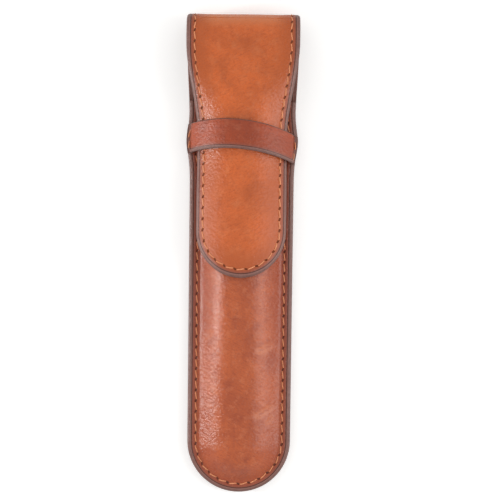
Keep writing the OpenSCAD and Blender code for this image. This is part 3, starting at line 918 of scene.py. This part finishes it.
def fold_blend(piece, link):
    """Finds the ends of the hinge between two links, link 0 being the hinge next to the back, and
    bakes the piece's place into its mesh.
    """
    s = Shape()
    r = s.p.fold_r - s.back_t
    ends = []
    for turn in (link * LINK_ARC, (link + 1) * LINK_ARC):
        ends.append((0, s.fold_y + r * math.sin(turn), s.p.fold_r - r * math.cos(turn)))
    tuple(ends[0])
    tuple(ends[1])
    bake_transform(piece)


def layers(leather_t, full_t):
    """Name, top depth and bottom depth of a panel's two layers."""
    return ("leather", 0.0, leather_t), ("lining", leather_t, full_t)


def strip_pieces(kind, links):
    """Leather and lining of parts of the strip, a piece for each link."""
    s = Shape()
    for layer, top, bottom in layers(s.p.back_leather_t, s.back_t):
        panel = Panel(s, kind, top, bottom)
        for link in links:
            if link in FOLD_NODES:
                name, rows = f"fold_panel_{link}", []
                for part in Panel.BEND_PARTS:
                    y = s.fold_y + s.p.fold_r * (link + part) * LINK_ARC
                    left, right = (panel.section((side, y, None)) for side in (-1, 1))
                    rows.append(left + right[-2::-1])
                nodes = [f"fold_{layer}_{k}" for k in FOLD_NODES[link]]
            else:
                stations = panel.stations(s.fold_y + s.p.fold_r * LINK_ARC)
                name, rows = f"{kind}_panel", [panel.section(station) for station in stations]
                nodes = [f"{kind}_{layer}"]
            piece = grid_piece(f"{name}_{layer}", rows, plain_ends=True)
            finish_piece(piece, FINISHES[layer], SLOTS[layer], nodes)
            fold_blend(piece, link)


class SLEEVE_OT_back(bpy.types.Operator):
    """Back panel and its lining, each with the first part of the fold"""

    bl_idname = "sleeve.back"
    bl_label = "Back"

    def execute(self, context):
        strip_pieces("back", (0,))
        return {"FINISHED"}


class SLEEVE_OT_fold(bpy.types.Operator):
    """Middle parts of the fold, in leather and lining"""

    bl_idname = "sleeve.fold"
    bl_label = "Fold"

    def execute(self, context):
        strip_pieces("back", FOLD_NODES)
        return {"FINISHED"}


class SLEEVE_OT_flap(bpy.types.Operator):
    """Flap and its lining, each with the last part of the fold"""

    bl_idname = "sleeve.flap"
    bl_label = "Flap"

    def execute(self, context):
        strip_pieces("flap", (3,))
        return {"FINISHED"}


class SLEEVE_OT_front(bpy.types.Operator):
    """Wet-moulded front and its lining"""

    bl_idname = "sleeve.front"
    bl_label = "Front"

    def execute(self, context):
        s = Shape()
        for layer, top, bottom in layers(s.p.front_leather_t, s.front_t):
            panel = Panel(s, "front", top, bottom)
            rows = [panel.section(t) for t in panel.stations(s.mouth_y)]
            piece = grid_piece("front_panel_" + layer, rows, creased=True)
            finish = "front_finish" if layer == "leather" else FINISHES[layer]
            finish_piece(piece, finish, SLOTS[layer], ["front_" + layer])
            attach(piece, "sleeve")
        return {"FINISHED"}


# Half of the strap's section, as shares of its half width and its thickness, from below round
STRAP_LOOP = ((0, 0), (0.5, 0), (0.8, 0), (0.95, 0), (1, 0.3), (1, 0.62), (0.985, 0.85))
STRAP_LOOP += ((0.95, 0.95), (0.9, 0.985), (0.86, 0.965), (0.82, 1), (0.6, 1), (0.3, 1), (0, 1))
STRAP_STEPS = 44  # from the middle to each end
# How thin the paint shows on the strap's upper edge, lower edge and ends, against a panel's
STRAP_UPPER, STRAP_LOWER, STRAP_END = 6.0, 1.3, 1.5
STRAP_SIDE = 0.1  # share of the thickness above which the sides are painted
STRAP_UNDER, STRAP_MIDDLE = 3.0, 4.0  # unpainted coordinates, of the underside and the middle
STRAP_FLAT = (300, 20)  # the strap's place among the flat patterns, and its faces' distance


def strap_section(s, x_share):
    """Closed section of the strap at a share of the way across."""
    half_w, side, reach = s.p.strap_w / 2, math.copysign(1, x_share), abs(x_share)
    out = []
    for e, h in STRAP_LOOP + tuple((-e, h) for e, h in STRAP_LOOP[-2::-1]):
        x = side * strap_x(s, reach, s.strap_mid_y(side * s.p.fold_w / 2 * reach) + e * half_w)
        y = s.strap_mid_y(x) + e * half_w
        inset = (1 - abs(e)) * half_w * (STRAP_UPPER if e > 0 else STRAP_LOWER)
        inset = min(inset, (s.body_half(y) - abs(x)) * STRAP_END) / MM
        inset = min(inset, STRAP_MIDDLE) if h > STRAP_SIDE else STRAP_UNDER
        place = (x, y, s.strap_z(x, y, s.p.strap_t * h))
        flat = (x / MM, y / MM, STRAP_FLAT[0] + STRAP_FLAT[1] * h)
        out.append((place, (inset, x / MM), flat))
    return out


def strap_x(s, reach, y):
    """Place across, with its steps closer outside the tongue's edge."""
    edge, outer = s.flap_half(y), s.body_half(y)
    return edge * 2 * reach if reach <= 0.5 else edge + (outer - edge) * (2 * reach - 1)


class SLEEVE_OT_strap(bpy.types.Operator):
    """Keeper strap over the tongue, with the stitches through its ends"""

    bl_idname = "sleeve.strap"
    bl_label = "Keeper strap"

    END_INSET = 0.9 * MM  # from the sleeve's edge to the strap's stitches
    PROBE = 0.1 * MM  # step over which the surface's slope is measured

    def execute(self, context):
        s = Shape()
        shares = [i / STRAP_STEPS for i in range(-STRAP_STEPS, STRAP_STEPS + 1)]
        piece = grid_piece("keeper_band", [strap_section(s, f) for f in shares], angle=40)
        finish_piece(piece, "strap_finish", "strap_leather", ["keeper_strap"])
        threads = seam_piece("thread_strap", self.spots(s), s.p.stitch_pitch, ["strap_seam"])
        for soft in (piece, threads):
            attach(soft, "sleeve")
            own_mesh(soft)
        return {"FINISHED"}

    def spots(self, s):
        count = math.floor(s.p.strap_w / s.p.stitch_pitch)
        spots = []
        for side in (-1, 1):
            for i in range(count):
                y = s.strap_mid_y(side * s.p.fold_w / 2) + (i - (count - 1) / 2) * s.p.stitch_pitch

                def spot(along, across, rise, side=side, y=y):
                    """Laid along the strap's surface, which is steep there."""
                    x, y, d = s.body_half(y + along) - self.END_INSET, y + along, self.PROBE
                    low, z, high = (s.strap_z(place, y, s.p.strap_t) for place in (x - d, x, x + d))
                    slope = (high - low) / (2 * d)
                    norm = math.hypot(1, slope)
                    x -= (across + rise * slope) / norm
                    return side * x, y, z + (rise - across * slope) / norm

                spots.append(spot)
        return spots


class SLEEVE_OT_stitching(bpy.types.Operator):
    """Saddle stitches of the side seam, the flap's border, the mouth, the head and the fold"""

    bl_idname = "sleeve.stitching"
    bl_label = "Stitching"

    STRAP_CLEAR = 1.0 * MM  # the side seam's stitches stop this far from the strap

    def execute(self, context):
        s = Shape()
        p = s.p
        front = Panel(s, "front", 0.0, p.front_leather_t)
        kinds = ("back", "flap")
        back, flap = (Panel(s, kind, 0.0, p.back_leather_t) for kind in kinds)
        back_lined, flap_lined = (Panel(s, kind, p.back_leather_t, s.back_t) for kind in kinds)

        def under_strap(x, y):
            return abs(y - s.strap_mid_y(x)) < p.strap_w / 2 + self.STRAP_CLEAR

        side_front = seam_spots(front, True, under_strap)
        rigid = (
            ("thread_side_front", side_front, "side_seam_front", "sleeve"),
            ("thread_side_back", seam_spots(back, True), "side_seam_back", "sleeve"),
            ("thread_mouth", self.mouth(s, front), "mouth_seam", "sleeve"),
            ("thread_head", self.head(s, back_lined), "head_seam", "sleeve"),
            ("thread_flap_top", seam_spots(flap, True), "flap_seam_top", "flap"),
            ("thread_flap_under", seam_spots(flap_lined, False), "flap_seam_under", "flap"),
        )
        for name, spots, node, body in rigid:
            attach(seam_piece(name, spots, p.stitch_pitch, [node]), body)
        # round the fold, a thread piece for each part of the fold
        bends = (
            (back, back_lined, (0.5, 1.5), ["fold_seam_1"]),
            (back, back_lined, (2.5,), ["fold_seam_2"]),
            (back, back_lined, (3.5, 4.5), ["fold_seam_3"]),
            (flap, flap_lined, (0.5,), []),
        )
        for link, (outer, lined, turns, nodes) in enumerate(bends):
            spots = bend_spots(outer, turns, True) + bend_spots(lined, turns, False)
            piece = seam_piece(f"thread_fold_{link + 1}", spots, p.fold_r * FOLD_PITCH, nodes)
            fold_blend(piece, link)
        return {"FINISHED"}

    def mouth(self, s, front):
        """Stitches across the mouth, over the dome."""
        y = s.mouth_y - s.p.seam_inset
        reach = s.body_half(y) - s.p.flange_w - s.p.stitch_pitch
        count = math.floor(2 * reach / s.p.stitch_pitch)
        spots = []
        for i in range(count):
            middle = (i - (count - 1) / 2) * s.p.stitch_pitch

            def spot(along, across, rise, middle=middle):
                x = middle + along
                station = (math.copysign(1, x) if x else 1, y + across, None)
                return front.face(station, front.half(station) - abs(x), rise)

            spots.append(spot)
        return spots

    def head(self, s, lined):
        """Stitches on the inner side of the back, between the mouth and the fold."""
        run = s.fold_y - s.mouth_y
        count = math.floor(run / s.p.stitch_pitch)
        ys = [s.mouth_y + (i + 0.5) * run / count for i in range(count)]
        middles = [(side, y) for side in (-1, 1) for y in ys]
        return spots_at(lined, middles, lambda at, along: (at[0], at[1] + along, None), False)


class SLEEVE_OT_finishes(bpy.types.Operator):
    """Materials of the leather, the strap, the lining and the thread"""

    bl_idname = "sleeve.finishes"
    bl_label = "Finishes"

    def execute(self, context):
        leather_material("tan", rubbed=True)
        leather_material("front", gloss=0.24)
        leather_material("strap", holes=False, gloss=0.38)
        leather_material("lining", gloss=0.62, matt=True)
        thread_material()
        return {"FINISHED"}


PIXEL = 0.346 * MM  # one pixel of the photograph on the sleeve
VIEW_PIXELS = 500
VIEW_CENTRE_PX = (240.9, 254.0)  # where the sleeve's middle lies in the photograph
VIEW_TURN = math.radians(0.7)
VIEW_FROM = 0.46
VIEW_PLANE = 4.5 * MM  # height at which the photograph's scale was measured
SENSOR = 36.0
# Lights: name, place, size and power
LIGHTS = (
    ("window_light", (-0.55, -0.04, 0.085), (0.030, 0.34), 2.1),
    ("room_light", (0.60, -0.05, 0.22), (0.34, 0.80), 2.3),
)
ROOM_TONE, ROOM_STRENGTH = (1, 0.99, 0.97, 1), 0.72
FLOOR_GLOW = 0.34


class SLEEVE_OT_stage(bpy.types.Operator):
    """Pale floor, soft lights and the camera straight above"""

    bl_idname = "sleeve.stage"
    bl_label = "Stage"

    def execute(self, context):
        deselect()
        bpy.ops.mesh.primitive_plane_add(size=3, location=(0, 0, 0))
        floor = context.object
        floor.name = "floor"
        floor.data.materials.append(self.floor_material(context.scene.sleeve_looks.floor))
        floor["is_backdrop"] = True
        for light in LIGHTS:
            self.soft_light(*light)
        self.world(context)
        self.camera(context)
        context.scene.view_settings.view_transform = "Standard"
        return {"FINISHED"}

    def floor_material(self, tone):
        """Pale and matt, glowing a little to the camera so that it comes out white."""
        n = Nodes("floor_finish")
        glow = n.times(n.put("ShaderNodeLightPath").outputs["Is Camera Ray"], FLOOR_GLOW)
        white = (1, 1, 1, 1)
        n.to_shader(Base_Color=(*tone, 1), Roughness=0.9, Specular_IOR_Level=0.1)
        return n.to_shader(Emission_Color=white, Emission_Strength=glow)

    def soft_light(self, name, place, size, power):
        deselect()
        bpy.ops.object.light_add(type="AREA", location=place)
        lamp = bpy.context.object
        lamp.name = name
        lamp.data.shape = "RECTANGLE"
        lamp.data.size, lamp.data.size_y = size
        lamp.data.energy = power
        lamp.rotation_euler = (-Vector(place)).to_track_quat("-Z", "Y").to_euler()

    def world(self, context):
        world = bpy.data.worlds.new("room")
        context.scene.world = world
        world.use_nodes = True
        background = world.node_tree.nodes["Background"].inputs
        background["Color"].default_value = ROOM_TONE
        background["Strength"].default_value = ROOM_STRENGTH

    def camera(self, context):
        across = (VIEW_PIXELS / 2 - VIEW_CENTRE_PX[0]) * PIXEL
        up = (VIEW_CENTRE_PX[1] - VIEW_PIXELS / 2) * PIXEL
        bpy.ops.object.camera_add(location=(across, up, VIEW_FROM), rotation=(0, 0, VIEW_TURN))
        camera = context.object
        camera.data.sensor_width = SENSOR
        camera.data.lens = SENSOR * (VIEW_FROM - VIEW_PLANE) / (VIEW_PIXELS * PIXEL)
        context.scene.camera = camera


STEPS = ("finishes", "back", "fold", "flap", "front", "strap", "stitching", "stage")


class SLEEVE_PT_panel(bpy.types.Panel):
    """Lists the steps that build the sleeve"""

    bl_idname = "SLEEVE_PT_panel"
    bl_label = "Pen sleeve"
    bl_space_type = "VIEW_3D"
    bl_region_type = "UI"
    bl_category = "Pen sleeve"

    def draw(self, context):
        for step in STEPS:
            self.layout.operator("sleeve." + step)
        for group in (context.scene.sleeve_sizes, context.scene.sleeve_looks):
            for name in group.__annotations__:
                self.layout.prop(group, name)


OPERATORS = (SLEEVE_OT_finishes, SLEEVE_OT_back, SLEEVE_OT_fold, SLEEVE_OT_flap, SLEEVE_OT_front)
OPERATORS += (SLEEVE_OT_strap, SLEEVE_OT_stitching, SLEEVE_OT_stage)
CLASSES = (SleeveSizes, SleeveLooks, *OPERATORS, SLEEVE_PT_panel)


def register():
    for item in CLASSES:
        bpy.utils.register_class(item)
    bpy.types.Scene.sleeve_sizes = bpy.props.PointerProperty(type=SleeveSizes)
    bpy.types.Scene.sleeve_looks = bpy.props.PointerProperty(type=SleeveLooks)


def unregister():
    del bpy.types.Scene.sleeve_looks
    del bpy.types.Scene.sleeve_sizes
    for item in reversed(CLASSES):
        bpy.utils.unregister_class(item)


def main():
    register()
    for step in STEPS:
        getattr(bpy.ops.sleeve, step)()
    boxes = {"cad": CAD_BOX, "visual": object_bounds()}
    plain = {name: [[float(v) for v in corner] for corner in box] for name, box in boxes.items()}


if __name__ == "__main__":
    main()
